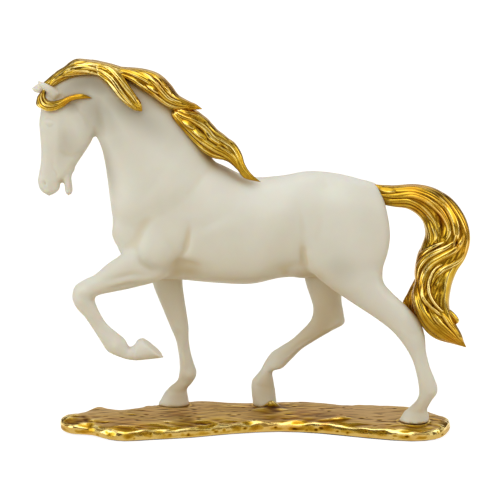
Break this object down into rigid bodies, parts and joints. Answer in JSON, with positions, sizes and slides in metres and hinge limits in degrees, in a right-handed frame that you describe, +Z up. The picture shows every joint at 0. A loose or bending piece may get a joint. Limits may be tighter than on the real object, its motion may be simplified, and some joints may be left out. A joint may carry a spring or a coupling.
{
  "type": "horse figurine",
  "caption": "Walking horse ornament: white cast resin horse, one foreleg lifted, with gold mane, forelock and tail castings, bolted through its hooves to a free-form gold base.",
  "frame": {"origin": "middle of the ornament's bounding box, on the underside of the foam rubber pad", "axes": "+Z up; +X along the horse's length from head to tail; +Y across, away from the side on which the mane lies"},
  "size_m": [0.3384, 0.0814, 0.2931],
  "materials": {
    "white_resin": "satin, slightly translucent",
    "gold": "polished and antiqued",
    "steel": "plain",
    "pad_rubber": "matte foam"
  },
  "bodies": {
    "root": {"horse_body": "white_resin", "crest_lock": "gold", "middle_lock": "gold", "rear_lock": "gold", "forelock": "gold", "tail": "gold", "base": "gold", "base_pad": "pad_rubber", "far_fore_stud": "steel", "far_fore_washer": "steel", "far_fore_nut": "steel", "far_hind_stud": "steel", "far_hind_washer": "steel", "far_hind_nut": "steel", "near_hind_stud": "steel", "near_hind_washer": "steel", "near_hind_nut": "steel", "tail_dowel": "steel", "crest_lock_pin_1": "steel", "crest_lock_pin_2": "steel", "middle_lock_pin_1": "steel", "middle_lock_pin_2": "steel", "rear_lock_pin_1": "steel", "rear_lock_pin_2": "steel", "forelock_pin": "steel"}
  },
  "joints": []
}
